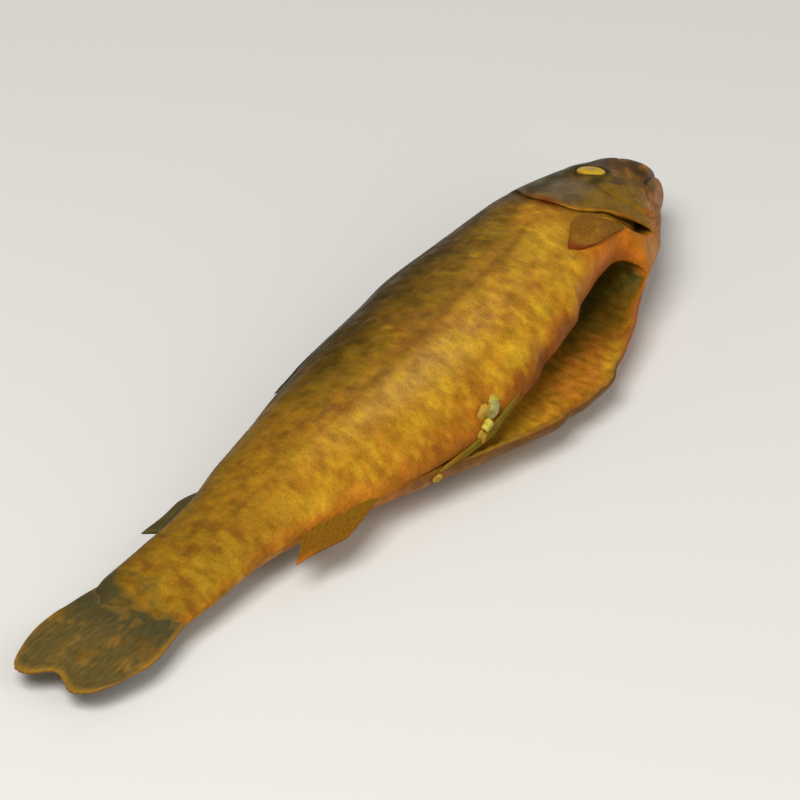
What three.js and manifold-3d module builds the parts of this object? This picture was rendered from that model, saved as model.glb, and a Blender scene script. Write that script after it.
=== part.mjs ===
// A whole smoked trout, gutted, with its head on. It lies on its left flank with the belly cut open.
// Millimetres: +X to the head, +Y to the back, +Z up through the right flank.
// The skin is a grid of rings: each row goes once round the fish, from the right edge of the belly cut
// over the back to its left edge, and then through the belly hollow to where it began.

import * as THREE from "three";
import { mergeVertices } from "three/addons/utils/BufferGeometryUtils.js";
import Module from "manifold-3d";

// Driving dimensions. "at" is always a place along the fish, counted from the head to the tail.
const SNOUT = 4; // the tip of the snout
const TAIL_TIPS = 300; // the tips of the tail fin, 296 mm behind it
const SNOUT_ROUND = 15; // length over which the snout rounds off
const STATIONS = [
  // back and belly: reach above and below the axis; half: half the thickness;
  // side: the axis towards the back; lift: the axis above the table
  { at: 4, back: 11.5, belly: 9, half: 8, side: 3.5, lift: 13.5 },
  { at: 13, back: 15.5, belly: 9.2, half: 11.6, side: 2.8, lift: 14.8 },
  { at: 25, back: 18.3, belly: 14, half: 12.8, side: 1.4, lift: 16.4 },
  { at: 37, back: 21.4, belly: 20.2, half: 15, side: 0.2, lift: 17.7 },
  { at: 60, back: 25.8, belly: 26.4, half: 17.4, side: -2, lift: 19.2 },
  { at: 80, back: 28.5, belly: 30, half: 18.8, side: -4, lift: 18.3 },
  { at: 105, back: 30, belly: 32, half: 19, side: -5.5, lift: 18 },
  { at: 140, back: 28, belly: 31, half: 17.8, side: -6, lift: 16.8 },
  { at: 175, back: 23, belly: 25.5, half: 14.5, side: -5.2, lift: 14.7 },
  { at: 200, back: 18.5, belly: 19.5, half: 11, side: -4.5, lift: 12.8 },
  { at: 228, back: 14, belly: 14, half: 7, side: -4, lift: 10.3 },
  { at: 254, back: 14, belly: 14, half: 3.4, side: -4, lift: 8.5 },
  { at: 264, back: 13, belly: 13, half: 1.4, side: -4.2, lift: 8 },
  { at: 300, back: 12, belly: 12, half: 0.6, side: -5, lift: 7 },
];
const BODY_END = 264; // the flesh ends here, inside the root of the tail fin
const BACK_FULLNESS = 0.86; // under 1 makes the back rounder than an ellipse
const BELLY_FULLNESS = 1.08; // over 1 makes the belly narrower

// Gill covers: the rear edge at angles round the body, 0 at the throat and 180 on the back
const GILL_EDGE = [[0, 37], [16, 38.5], [34, 44.5], [60, 54], [86, 63.5], [110, 64], [138, 58], [180, 53]];
const GILL_WINDOW = [22, 36, 130, 152]; // the cover stands free between these angles, with soft ends
const COVER_RISE = 1.3; // the cover's edge above the shoulder
const COVER_CLINGS = 0.4; // above the pectoral fin the cover stands up only this share of that
const GILL_NOTCH = { at: 37, spread: 6.5, depth: 1.6 }; // the opening gapes low down, at this angle
const SHOULDER_END = 84;

// Belly cut, from behind the throat to the vent
const CUT_START = 54;
const CUT_END = 178;
const CUT_GAPE = 15; // up and down, where the cut opens widest, near its front
const UPPER_FLAP_DRAW = 10; // there the upper flap has also shrunk back towards the flank
const LOWER_FLAP_SPLAY = 6; // the lower flap sticks out past the belly line
const FLAP_ARC = 82; // each flap bends over this angle from the cut
const WALL = 4.2; // thickness of the belly wall
const EDGE_WALL = 2; // the wall thins to this at the cut
const HOLLOW_ROOF = 0.3; // how far the hollow reaches above the axis, as a part of the back
const HOLLOW_TAPER = 10; // the hollow deepens over this length from each end of the cut
const FLOOR_DROP = 8.5; // the floor of the hollow lies this far under the axis

// Resolution
const AROUND = 44;
const HOLLOW_AROUND = 16;
const HEAD_ROWS = 13;
const SHOULDER_ROWS = 9;
const BODY_ROWS = 34;

const RAD = Math.PI / 180;
const clamp = (x, low, high) => Math.min(high, Math.max(low, x));
const mix = (a, b, t) => a + (b - a) * t;
const ease = (low, high, x) => {
  const t = clamp((x - low) / (high - low), 0, 1);
  return t * t * (3 - 2 * t);
};

// A monotone cubic through given points, so that nothing bulges between them.
function smoothCurve(points) {
  const n = points.length;
  const slopes = points.slice(1).map(([x, y], i) => (y - points[i][1]) / (x - points[i][0]));
  const tangents = points.map((_, i) => {
    if (i === 0) return slopes[0];
    if (i === n - 1) return slopes[n - 2];
    const [a, b] = [slopes[i - 1], slopes[i]];
    return a * b <= 0 ? 0 : (2 * a * b) / (a + b);
  });
  return (x) => {
    if (x <= points[0][0]) return points[0][1];
    if (x >= points[n - 1][0]) return points[n - 1][1];
    let i = 0;
    while (x > points[i + 1][0]) i += 1;
    const [x0, y0] = points[i];
    const [x1, y1] = points[i + 1];
    const h = x1 - x0;
    const t = (x - x0) / h;
    const bend = (1 - t) * (1 - t) * t * h * tangents[i] - t * t * (1 - t) * h * tangents[i + 1];
    return mix(y0, y1, t * t * (3 - 2 * t)) + bend;
  };
}

const profile = (key) => smoothCurve(STATIONS.map((station) => [station.at, station[key]]));
const back = profile("back");
const belly = profile("belly");
const half = profile("half");
const side = profile("side");
const lift = profile("lift");
const gillEdge = smoothCurve(GILL_EDGE);

const snoutRounding = (at) => Math.sqrt(1 - (1 - clamp((at - SNOUT) / SNOUT_ROUND, 0, 1)) ** 2);

// Angle from the throat line, the same on both flanks.
const fold = (angle) => (angle > 180 ? 360 - angle : angle);

// A rise from 0 at the start of the cut to 1 and back to 0 at its end; a steep fall puts the peak forward.
function alongCut(at, rise, fall) {
  const t = clamp((at - CUT_START) / (CUT_END - CUT_START), 0, 1);
  const peak = rise / (rise + fall);
  return (t / peak) ** rise * ((1 - t) / (1 - peak)) ** fall;
}

// How far the cut moves a point of the belly wall: sideways (towards the back) and up.
function flapShift(at, angle) {
  const reach = fold(angle) / FLAP_ARC;
  if (reach >= 1 || at <= CUT_START || at >= CUT_END) return [0, 0];
  const bend = Math.cos((reach * Math.PI) / 2) ** 2;
  const open = alongCut(at, 0.6, 2.8);
  const drop = alongCut(at, 0.6, 1.3);
  const splay = alongCut(at, 2, 2.6);
  const ripple = splay * (0.8 * Math.sin(at * 0.21) + 0.5 * Math.sin(at * 0.47 + 1));
  if (angle <= 180) {
    return [(UPPER_FLAP_DRAW * open - 0.8 * ripple) * bend, (0.5 * CUT_GAPE * open + 0.5 * ripple) * bend];
  }
  return [-(LOWER_FLAP_SPLAY * splay + ripple) * bend, -(0.5 * CUT_GAPE * drop - 0.5 * ripple) * bend];
}

// A point of the skin; raised is its height off the plain surface.
function skin(at, angle, raised = 0) {
  const c = Math.cos(angle * RAD);
  const s = Math.sin(angle * RAD);
  const round = snoutRounding(at);
  const depth = round * (c > 0 ? belly(at) : back(at));
  const width = round * half(at);
  const fullness = mix(BACK_FULLNESS, BELLY_FULLNESS, ease(-0.5, 0.5, c));
  const y = -c * depth;
  const z = Math.sign(s) * Math.abs(s) ** fullness * width;
  const slopeY = y / (depth * depth + 0.01);
  const slopeZ = z / (width * width + 0.01);
  const steep = Math.hypot(slopeY, slopeZ) || 1;
  const [moveY, moveZ] = flapShift(at, angle);
  return [
    -at,
    side(at) + y + (raised * slopeY) / steep + moveY,
    Math.max(0, lift(at) + z + (raised * slopeZ) / steep + moveZ),
  ];
}

// A point of the belly hollow on the inner side of the same angle.
function hollow(at, angle, edge) {
  const c = Math.cos(angle * RAD);
  const s = Math.sin(angle * RAD);
  const wall = mix(EDGE_WALL, WALL, ease(0, 50, fold(angle)));
  const y = c > 0 ? -c * (belly(at) - wall) : -c * HOLLOW_ROOF * back(at);
  const z = Math.sign(s) * Math.abs(s) ** 0.8 * (half(at) - wall);
  const [moveY, moveZ] = flapShift(at, angle);
  const deep = ease(CUT_START, CUT_START + HOLLOW_TAPER, at) * ease(CUT_END, CUT_END - HOLLOW_TAPER, at);
  const full = [-at, side(at) + y + moveY, lift(at) + Math.max(-FLOOR_DROP, z + moveZ)];
  return full.map((value, i) => mix(edge[i], value, mix(0.12, 1, deep)));
}

// Rows of the skin: each gives the place along the fish and the height off the surface at an angle.
function skinRows() {
  const rows = [];
  for (let i = 0; i < HEAD_ROWS; i += 1) {
    const t = (i / HEAD_ROWS) ** 1.25;
    rows.push((angle) => {
      const rise = COVER_RISE * ease(0.6, 1, t) * gillFree(angle);
      return [mix(SNOUT, gillEdge(fold(angle)), t), rise];
    });
  }
  // over the cover's edge, under it and out again onto the shoulder
  const lip = [
    { free: [0, COVER_RISE], flush: 0 },
    { free: [0.1, 0.3], flush: 0.5 },
    { free: [-3, -0.5], flush: 1 },
    { free: [-2.9, -1.9], flush: 1.5 },
    { free: [1, -1.2], flush: 2.2 },
    { free: [4, -0.3], flush: 4 },
  ];
  for (const { free, flush } of lip) {
    rows.push((angle) => {
      const w = gillFree(angle);
      const gape = free[1] < 0 ? GILL_NOTCH.depth * gillNotch(angle) : 0;
      return [gillEdge(fold(angle)) + mix(flush, free[0], w), (free[1] - gape) * w];
    });
  }
  // the rows straighten behind the shoulder
  for (let i = 1; i <= SHOULDER_ROWS; i += 1) {
    const t = i / SHOULDER_ROWS;
    rows.push((angle) => {
      const start = gillEdge(fold(angle)) + 4;
      return [mix(start, SHOULDER_END, t), 0];
    });
  }
  for (let i = 1; i <= BODY_ROWS; i += 1) {
    const at = mix(SHOULDER_END, BODY_END, i / BODY_ROWS);
    rows.push(() => [at, 0]);
  }
  return rows;
}

// 1 where the gill cover stands free of the body, 0 where the skin runs on.
function gillFree(angle) {
  const [start, full, fade, end] = GILL_WINDOW;
  const cling = mix(COVER_CLINGS, 1, ease(78, 48, fold(angle)));
  return ease(start, full, fold(angle)) * ease(end, fade, fold(angle)) * cling;
}

const gillNotch = (angle) => Math.exp(-(((fold(angle) - GILL_NOTCH.at) / GILL_NOTCH.spread) ** 2));

// Joins rings of equal length into a closed surface; rings that repeat a point simply lose faces there.
function solidFromRings(rings) {
  const count = rings[0].length;
  const index = [];
  for (let i = 0; i + 1 < rings.length; i += 1) {
    for (let j = 0; j < count; j += 1) {
      const [a, b] = [i * count + j, i * count + ((j + 1) % count)];
      index.push(a, b, a + count, b, b + count, a + count);
    }
  }
  return surface(rings.flat(), index);
}

function surface(points, index) {
  const geometry = new THREE.BufferGeometry();
  geometry.setAttribute("position", new THREE.Float32BufferAttribute(points.flat(), 3));
  geometry.setIndex(index);
  return geometry;
}

function bodyGeometry() {
  const rings = skinRows().map((row) => {
    const ring = [];
    for (let j = 0; j <= AROUND; j += 1) {
      const angle = (360 * j) / AROUND;
      const [at, raised] = row(angle);
      ring.push(skin(at, angle, raised));
    }
    const [at] = row(0);
    const open = at > CUT_START && at < CUT_END;
    if (!open) ring[AROUND] = [...ring[0]];
    const [right, left] = [ring[0], ring[AROUND]];
    for (let k = 0; k <= HOLLOW_AROUND; k += 1) {
      const t = k / HOLLOW_AROUND;
      const edge = right.map((value, i) => mix(left[i], value, t));
      ring.push(open ? hollow(at, 360 * (1 - t), edge) : [...right]);
    }
    return ring;
  });
  const last = rings[rings.length - 1];
  const middle = [0, 1, 2].map((i) => (last[AROUND / 4][i] + last[(3 * AROUND) / 4][i]) / 2);
  rings.push(last.map(() => [...middle]));
  return solidFromRings(rings);
}

// Height of the right flank (+1) or the left flank (-1) over a place in plan.
function flank(at, y, which) {
  const local = y - side(at);
  const depth = local > 0 ? back(at) : belly(at);
  const angle = Math.acos(clamp(-local / depth, -1, 1)) / RAD;
  return skin(at, which > 0 ? angle : 360 - angle)[2];
}

// A fin is a thin sheet. root, middle and tip give two numbers that place a ray, from 0 at the first ray
// to 1 at the last; place turns them into a point, off above or below the sheet's middle.
function finGeometry({ root, middle, tip, place, thick, thin, rays = 10, steps = 6 }) {
  const points = [];
  for (const face of [1, -1]) {
    for (let i = 0; i <= rays; i += 1) {
      const u = i / rays;
      const [a, b, c] = [root(u), middle(u), tip(u)];
      for (let j = 0; j <= steps; j += 1) {
        const t = j / steps;
        const [at, across] = [0, 1].map((k) => (1 - t) ** 2 * a[k] + 2 * t * (1 - t) * b[k] + t * t * c[k]);
        const rim = Math.min(1, 0.45 + 4 * Math.min(u, 1 - u));
        points.push(place(at, across, t, (face * mix(thick, thin, t) * rim) / 2));
      }
    }
  }
  const across = steps + 1;
  const under = (rays + 1) * across;
  const index = [];
  const quad = (a, b, c, d) => index.push(a, b, c, a, c, d);
  for (let i = 0; i < rays; i += 1) {
    for (let j = 0; j < steps; j += 1) {
      const a = i * across + j;
      quad(a, a + 1, a + across + 1, a + across);
      quad(under + a, under + a + across, under + a + across + 1, under + a + 1);
    }
    const [a, b] = [i * across, i * across + steps];
    quad(a, a + across, under + a + across, under + a);
    quad(b, under + b, under + b + across, b + across);
  }
  const end = rays * across;
  for (let j = 0; j < steps; j += 1) {
    quad(j, under + j, under + j + 1, j + 1);
    quad(end + j, end + j + 1, under + end + j + 1, under + end + j);
  }
  return surface(points, index);
}

// Most fins lie nearly level: their rays are placed in plan.
const levelled = (level) => (at, y, t, off) => [-at, y, level(at, y, t) + off];

// Tail fin: folded to a paddle with a shallow fork and rounded corners; the upper lobe is the longer.
function tailFin() {
  const axis = (at, reach) => [at, side(at) - reach];
  return finGeometry({
    root: (u) => axis(250, mix(-11.5, 11.5, u)),
    middle: (u) => axis(276, mix(-18.2, 18.5, u)),
    tip: (u) => {
      const w = 2 * u - 1;
      const at = TAIL_TIPS - 5 * Math.exp(-((w / 0.3) ** 2)) - 14 * w ** 6 - 2.6 * (w + 1);
      return axis(at, 15.5 * w);
    },
    place: levelled((at, y) => lift(at) + 0.6 * Math.sin((y - side(at)) * 0.35) * ease(262, 285, at)),
    thick: 3,
    thin: 1.1,
    rays: 16,
    steps: 9,
  });
}

// Fins on the midline lie folded back along the edge of the body, level with its axis.
function midlineFin({ rootAt, tipAt, inside, rise, thick, which }) {
  const edge = (at, reach) => [at, side(at) + which * ((which > 0 ? back(at) : belly(at)) + reach)];
  const root = (u) => edge(mix(rootAt[0], rootAt[1], u), -inside);
  const tip = (u) => edge(mix(tipAt[0], tipAt[1], u), mix(rise[0], rise[1], u));
  return finGeometry({
    root,
    middle: (u) => edge(mix(mix(rootAt[0], rootAt[1], u), mix(tipAt[0], tipAt[1], u), 0.5), 0.4 * rise[0]),
    tip,
    place: levelled(lift),
    thick,
    thin: 0.9,
    rays: 8,
    steps: 5,
  });
}

// Paired fins lie pressed against a flank and point to the tail.
const FIN_SINK = 1.2; // the root of a paired fin lies this far under the skin
const finStand = (t) => mix(-FIN_SINK, 0.35, ease(0, 0.45, t));

function pairedFin({ rootAt, rootY, tipAt, tipY, spread, which }) {
  return finGeometry({
    root: (u) => [mix(rootAt[0], rootAt[1], u), mix(rootY[0], rootY[1], u)],
    middle: (u) => [mix(rootAt[0], tipAt, 0.55), mix(rootY[0], tipY, 0.5) + mix(spread, -spread, u)],
    tip: (u) => {
      const w = 2 * u - 1;
      return [tipAt - 7 * w * w, tipY - 0.45 * spread * w];
    },
    place: levelled((at, y, t) => Math.max(1, flank(at, y, which) + which * finStand(t))),
    thick: 1.8,
    thin: 0.9,
    rays: 8,
    steps: 6,
  });
}

// The right pelvic fin lies folded along the upper edge of the cut: its rays are placed by angle.
function cutEdgeFin() {
  return finGeometry({
    root: (u) => [mix(122, 131, u), mix(13, 1, u)],
    middle: (u) => [mix(142, 150, u), mix(12, -5, u)],
    tip: (u) => {
      const w = 2 * u - 1;
      return [167 - 5 * w * w, -9 - 5 * w];
    },
    place: (at, angle, t, off) => skin(at, angle, finStand(t) + off),
    thick: 1.8,
    thin: 0.9,
    rays: 6,
    steps: 10,
  });
}

const FINS = [
  tailFin(),
  // dorsal, adipose and anal fins
  midlineFin({ rootAt: [118, 152], tipAt: [142, 166], inside: 3, rise: [3.5, 3], thick: 3, which: 1 }),
  midlineFin({ rootAt: [208, 229], tipAt: [219, 235], inside: 2.5, rise: [4, 4.4], thick: 2.6, which: 1 }),
  midlineFin({ rootAt: [180, 208], tipAt: [205, 221], inside: 3, rise: [8, 7.5], thick: 2.6, which: -1 }),
  // pectoral fins
  pairedFin({ rootAt: [57, 52], rootY: [-11, -18], tipAt: 81, tipY: -16.5, spread: 7, which: 1 }),
  pairedFin({ rootAt: [55, 50], rootY: [-11, -18], tipAt: 78, tipY: -17, spread: 7, which: -1 }),
  // pelvic fins
  cutEdgeFin(),
  pairedFin({ rootAt: [128, 134], rootY: [-21, -26], tipAt: 160, tipY: -26, spread: 5, which: -1 }),
];

// Eyes: low domes in the sides of the head.
const EYE = { at: 36.5, y: 5.4, radius: 4.6, dome: 0.25, stand: 0 };

function eyeGeometry(which) {
  const eye = new THREE.SphereGeometry(EYE.radius, 18, 10);
  eye.scale(1, 1, EYE.dome);
  eye.translate(-EYE.at, EYE.y, flank(EYE.at, EYE.y, which) + which * EYE.stand);
  return eye;
}

// Mouth: a narrow wedge cut across the snout, closing towards the corner of the jaw.
const MOUTH = { front: 0.8, frontY: 1, cornerAt: 25, cornerY: -6 };

function mouthGeometry() {
  const wedge = new THREE.Shape();
  wedge.moveTo(0, MOUTH.frontY + MOUTH.front);
  wedge.lineTo(-MOUTH.cornerAt, MOUTH.cornerY);
  wedge.lineTo(0, MOUTH.frontY - MOUTH.front);
  const cut = new THREE.ExtrudeGeometry(wedge, { depth: 60, bevelEnabled: false });
  cut.translate(0, 0, -10);
  return cut;
}

// Cutting and joining
const wasm = await Module();
wasm.setup();

function signedVolume(points, faces) {
  const corner = (i) => new THREE.Vector3().fromArray(points, 3 * faces[i]);
  let total = 0;
  for (let i = 0; i < faces.length; i += 3) total += corner(i).dot(corner(i + 1).cross(corner(i + 2))) / 6;
  return total;
}

function toSolid(geometry) {
  geometry.deleteAttribute("normal");
  geometry.deleteAttribute("uv");
  const merged = mergeVertices(geometry, 1e-4);
  const source = merged.index.array;
  const faces = [];
  for (let i = 0; i < source.length; i += 3) {
    const [a, b, c] = source.slice(i, i + 3);
    if (a !== b && b !== c && c !== a) faces.push(a, b, c);
  }
  const vertProperties = merged.attributes.position.array;
  if (signedVolume(vertProperties, faces) < 0) faces.reverse();
  return new wasm.Manifold(new wasm.Mesh({ numProp: 3, vertProperties, triVerts: new Uint32Array(faces) }));
}

function toGeometry(solid) {
  const { vertProperties, triVerts } = solid.getMesh();
  const geometry = new THREE.BufferGeometry();
  geometry.setAttribute("position", new THREE.BufferAttribute(new Float32Array(vertProperties), 3));
  geometry.setIndex(new THREE.BufferAttribute(new Uint32Array(triVerts), 1));
  return geometry;
}

function fishGeometry() {
  let fish = toSolid(bodyGeometry());
  for (const piece of [...FINS, eyeGeometry(1), eyeGeometry(-1)]) {
    fish = fish.add(toSolid(piece));
  }
  const pieces = fish.subtract(toSolid(mouthGeometry())).decompose();
  pieces.sort((a, b) => b.volume() - a.volume());
  return toGeometry(pieces[0]);
}

// The origin is the middle of the bounding box, on the table.
function centred(geometry) {
  geometry.computeBoundingBox();
  const { min, max } = geometry.boundingBox;
  geometry.translate(-(min.x + max.x) / 2, -(min.y + max.y) / 2, -min.z);
  return geometry;
}

const smokedSkin = new THREE.MeshStandardMaterial({ color: 0xb07a1e, roughness: 0.45, metalness: 0 });
const fish = new THREE.Mesh(centred(fishGeometry()), smokedSkin);
fish.name = "smoked_trout";

const group = new THREE.Group();
group.add(fish);

export default group;
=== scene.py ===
"""A hot-smoked trout, whole and gutted, lying on its left flank with the belly cut open.

Lengths are millimetres on the fish: s along it, from the snout at 4 to the tail at 300, y towards the
back and z up from the table. Angles are degrees round it: 0 on the belly, 90 on the right flank, which
is up, 180 on the back and 270 on the left flank. frame_metres() turns points into the frame's metres.
"""

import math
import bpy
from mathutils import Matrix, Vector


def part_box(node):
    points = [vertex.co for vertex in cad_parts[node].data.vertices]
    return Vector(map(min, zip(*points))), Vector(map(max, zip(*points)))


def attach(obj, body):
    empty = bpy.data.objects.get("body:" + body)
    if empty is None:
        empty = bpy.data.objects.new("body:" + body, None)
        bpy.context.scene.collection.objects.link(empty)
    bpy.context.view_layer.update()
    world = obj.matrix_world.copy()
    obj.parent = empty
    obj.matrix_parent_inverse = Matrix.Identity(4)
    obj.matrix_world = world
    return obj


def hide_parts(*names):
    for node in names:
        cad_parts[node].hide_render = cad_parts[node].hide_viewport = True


bl_info = {
    "name": "Smoked Trout",
    "version": (1, 0, 0),
    "blender": (4, 5, 0),
    "location": "View3D > Sidebar > Trout",
    "description": "Builds a whole smoked trout with its fins, eyes and open belly",
    "category": "Object",
}

import bpy
import numpy as np
from bpy.props import FloatProperty, FloatVectorProperty, IntProperty, PointerProperty
from bpy.types import NodeSocket, Operator, Panel, PropertyGroup
from mathutils import Quaternion, Vector

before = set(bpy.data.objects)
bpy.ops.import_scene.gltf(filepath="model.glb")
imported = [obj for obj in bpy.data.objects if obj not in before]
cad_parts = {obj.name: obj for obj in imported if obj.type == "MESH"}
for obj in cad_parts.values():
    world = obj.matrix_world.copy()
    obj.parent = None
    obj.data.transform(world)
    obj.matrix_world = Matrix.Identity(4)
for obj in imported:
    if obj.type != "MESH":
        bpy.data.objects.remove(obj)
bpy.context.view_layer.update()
NODE = "smoked_trout"
BODY = "root"

# Body of the fish: reach of the back and belly from the axis, half thickness, the axis towards the
# back and above the table, at distances from the snout
STATIONS = np.array([
    # s, back, belly, half, side, lift
    (4, 11.5, 9, 8, 3.5, 13.5),
    (13, 15.5, 9.2, 11.6, 2.8, 14.8),
    (25, 18.3, 14, 12.8, 1.4, 16.4),
    (37, 21.4, 20.2, 15, 0.2, 17.7),
    (60, 25.8, 26.4, 17.4, -2, 19.2),
    (80, 28.5, 30, 18.8, -4, 18.3),
    (105, 30, 32, 19, -5.5, 18),
    (140, 28, 31, 17.8, -6, 16.8),
    (175, 23, 25.5, 14.5, -5.2, 14.7),
    (200, 18.5, 19.5, 11, -4.5, 12.8),
    (228, 14, 14, 7, -4, 10.3),
    (254, 14, 14, 3.4, -4, 8.5),
    (264, 13, 13, 1.4, -4.2, 8),
    (300, 12, 12, 0.6, -5, 7),
])
SNOUT, TAIL_TIPS = 4, 300
EYE_AT, EYE_Y = 36.5, 5.4
SNOUT_ROUND = 15
BODY_END = 264
BACK_FULLNESS, BELLY_FULLNESS = 0.86, 1.08
# The gill cover's edge by angle and distance from the snout, the angles at which it stands free, how
# high it stands, and the notch under it
GILL_EDGE = np.array([(0, 37), (16, 38.5), (34, 44.5), (60, 54), (86, 63.5), (110, 64), (138, 58), (180, 53)])
GILL_WINDOW = (22, 36, 130, 152)
COVER_RISE, COVER_CLINGS = 1.3, 0.4
NOTCH_AT, NOTCH_SPREAD, NOTCH_DEPTH = 37, 6.5, 1.6
SHOULDER_END = 84
# The belly cut, the way its two edges are drawn apart, and the walls, roof, ends and floor of the hollow
CUT_START, CUT_END, CUT_GAPE = 54, 178, 15
UPPER_FLAP_DRAW, LOWER_FLAP_SPLAY, FLAP_ARC = 10, 6, 82
WALL, EDGE_WALL, HOLLOW_ROOF, HOLLOW_TAPER, FLOOR_DROP = 4.2, 2, 0.3, 10, 8.5
# Mouth and nostrils
MOUTH_LENGTH = 21
NOSTRILS_AT, NOSTRIL_Y, NOSTRIL = (13.5, 16), 9.2, 0.8
FIN_SINK = 1.2  # the root of a paired fin lies this far under the skin
RAY_LENGTH, RAY_PITCH = 30, 1.1  # of a fin's pattern
LINING_APART, SIDES_APART = 40, 50  # shift of the pattern on the belly's lining and on a fin's other side
# The fineness of the meshes, and the rows behind the head that lie in the gap under the gill cover
HEAD_ROWS, SHOULDER_ROWS, HOLLOW_COLUMNS, RAY_COLUMNS = 92, 38, 34, 6
GAP_ROWS = slice(HEAD_ROWS + 5, HEAD_ROWS + 19)
TURN = 2 * math.pi


def linear(code):
    """An sRGB hex colour as linear red, green and blue."""
    parts = [int(code[i:i + 2], 16) / 255 for i in (1, 3, 5)]
    return tuple(p / 12.92 if p <= 0.04045 else ((p + 0.055) / 1.055) ** 2.4 for p in parts)


def colour(name, description, code):
    limits = {"subtype": "COLOR", "size": 3, "min": 0, "max": 1}
    return FloatVectorProperty(name=name, description=description, default=linear(code), **limits)


# Curves and noise

def smooth_curve(points):
    """A monotone cubic through given points, the same as in the solid."""
    x, y = np.asarray(points, float).T
    slope = np.diff(y) / np.diff(x)
    tangent = np.empty_like(y)
    tangent[0], tangent[-1] = slope[0], slope[-1]
    a, b = slope[:-1], slope[1:]
    same = a * b > 0
    tangent[1:-1] = np.where(same, 2 * a * b / np.where(same, a + b, 1), 0)

    def at(value):
        v = np.clip(value, x[0], x[-1])
        i = np.clip(np.searchsorted(x, v, side="left") - 1, 0, len(x) - 2)
        h = x[i + 1] - x[i]
        t = (v - x[i]) / h
        bend = (1 - t) ** 2 * t * h * tangent[i] - t * t * (1 - t) * h * tangent[i + 1]
        return y[i] + (y[i + 1] - y[i]) * t * t * (3 - 2 * t) + bend

    return at


back, belly, half, side, lift = (smooth_curve(STATIONS[:, [0, k]]) for k in range(1, 6))
gill_edge = smooth_curve(GILL_EDGE)

TIP = max((v.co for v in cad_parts[NODE].data.vertices), key=lambda co: co.x)
ORIGIN = np.array([TIP.x * 1000 + SNOUT, TIP.y * 1000 - float(side(SNOUT)), 0.0])


def frame_metres(points):
    """Points (s, y, z) in millimetres to the frame's metres."""
    p = np.asarray(points, float)
    return (p * (-1, 1, 1) + ORIGIN) / 1000


def mix(a, b, t):
    return a + (b - a) * t


def ease(low, high, x):
    t = np.clip((np.asarray(x, float) - low) / (high - low), 0, 1)
    return t * t * (3 - 2 * t)


def bump(x, middle, width):
    """1 at the middle, falling off smoothly over the width on each side."""
    return np.exp(-(((x - middle) / width) ** 2))


def between(x, start, full, fade, end):
    """Rises from start to full and falls from fade to end."""
    return ease(start, full, x) * ease(end, fade, x)


def rad(angle):
    return np.asarray(angle) * (math.pi / 180)


LATTICE = np.random.default_rng(11).random((32, 32, 32))


def noise(x, y, z=0.0):
    """Smooth seeded noise from 0 to 1 with cells one unit wide."""
    p = np.stack(np.broadcast_arrays(x, y, z)).astype(float)
    cell = np.floor(p).astype(int)
    f = p - cell
    f = f * f * (3 - 2 * f)
    total = 0
    for corner in range(8):
        step = [(corner >> k) & 1 for k in range(3)]
        weight = 1
        for k in range(3):
            weight = weight * (f[k] if step[k] else 1 - f[k])
        total = total + weight * LATTICE[tuple((cell[k] + step[k]) % 32 for k in range(3))]
    return total


def cloud(x, y, z=0.0, octaves=3):
    """Layered noise around 0, about -1 to 1."""
    total, size = 0, 0
    for k in range(octaves):
        total = total + noise(x * 2 ** k + 7.3 * k, y * 2 ** k + 3.1 * k, z * 2 ** k) * 0.5 ** k
        size += 0.5 ** k
    return np.clip((total / size - 0.5) * 3, -1, 1)


# The form of the fish

def fold(angle):
    return np.where(angle > 180, 360 - angle, angle)


def along_cut(s, rise, fall):
    t = np.clip((s - CUT_START) / (CUT_END - CUT_START), 0, 1)
    peak = rise / (rise + fall)
    return (t / peak) ** rise * ((1 - t) / (1 - peak)) ** fall


def flap_shift(s, angle):
    """How far the cut moves the belly wall, towards the back and up."""
    reach = np.clip(fold(angle) / FLAP_ARC, 0, 1)
    bend = np.where((s > CUT_START) & (s < CUT_END), np.cos(reach * math.pi / 2) ** 2, 0)
    opened = along_cut(s, 0.6, 2.8)
    drop = along_cut(s, 0.6, 1.3)
    splay = along_cut(s, 2, 2.6)
    ripple = splay * (0.8 * np.sin(s * 0.21) + 0.5 * np.sin(s * 0.47 + 1))
    upper = angle <= 180
    move_y = np.where(upper, UPPER_FLAP_DRAW * opened - 0.8 * ripple, -(LOWER_FLAP_SPLAY * splay + ripple))
    move_z = np.where(upper, 0.5 * CUT_GAPE * opened + 0.5 * ripple, -(0.5 * CUT_GAPE * drop - 0.5 * ripple))
    return move_y * bend, move_z * bend


def skin(s, angle, raised=0.0):
    c, n = np.cos(rad(angle)), np.sin(rad(angle))
    rounding = np.sqrt(1 - (1 - np.clip((s - SNOUT) / SNOUT_ROUND, 0, 1)) ** 2)
    depth = rounding * np.where(c > 0, belly(s), back(s))
    width = rounding * half(s)
    fullness = mix(BACK_FULLNESS, BELLY_FULLNESS, ease(-0.5, 0.5, c))
    y = -c * depth
    z = np.sign(n) * np.abs(n) ** fullness * width
    slope_y, slope_z = y / (depth * depth + 0.01), z / (width * width + 0.01)
    steep = np.maximum(np.hypot(slope_y, slope_z), 1e-9)
    move_y, move_z = flap_shift(s, angle)
    return np.stack([
        s + 0 * y,
        side(s) + y + raised * slope_y / steep + move_y,
        np.maximum(0, lift(s) + z + raised * slope_z / steep + move_z),
    ], axis=-1)


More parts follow.
